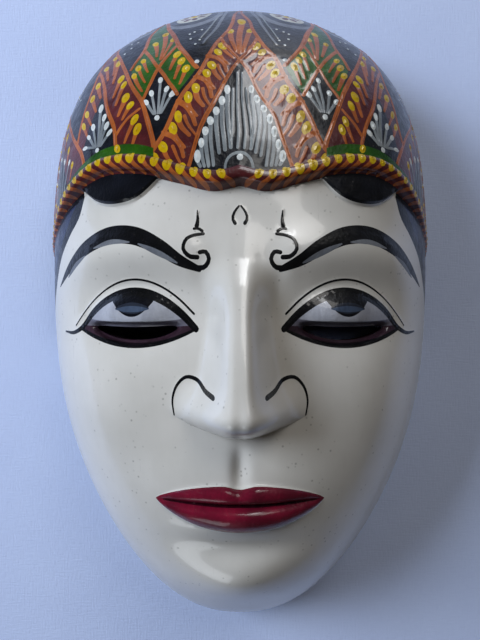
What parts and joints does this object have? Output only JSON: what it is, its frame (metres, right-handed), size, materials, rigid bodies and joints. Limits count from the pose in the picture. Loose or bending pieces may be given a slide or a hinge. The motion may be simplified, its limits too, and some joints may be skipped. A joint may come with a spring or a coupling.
{
  "type": "topeng mask",
  "caption": "Carved wooden topeng mask, hollow at the back, with a raised patterned headdress, a calm white face and sight slits under the eyes",
  "frame": {"origin": "middle of the back rim's plane, under the middle of the bounding box", "axes": "+Z out of the face, away from the rim; +Y from chin to crown; +X to the viewer's right"},
  "size_m": [0.1296, 0.2102, 0.0772],
  "materials": {
    "painted_wood": "glossy white lacquer on the face, painted pattern on the headdress, bare carved wood inside"
  },
  "bodies": {
    "root": {"mask": "painted_wood"}
  },
  "joints": []
}
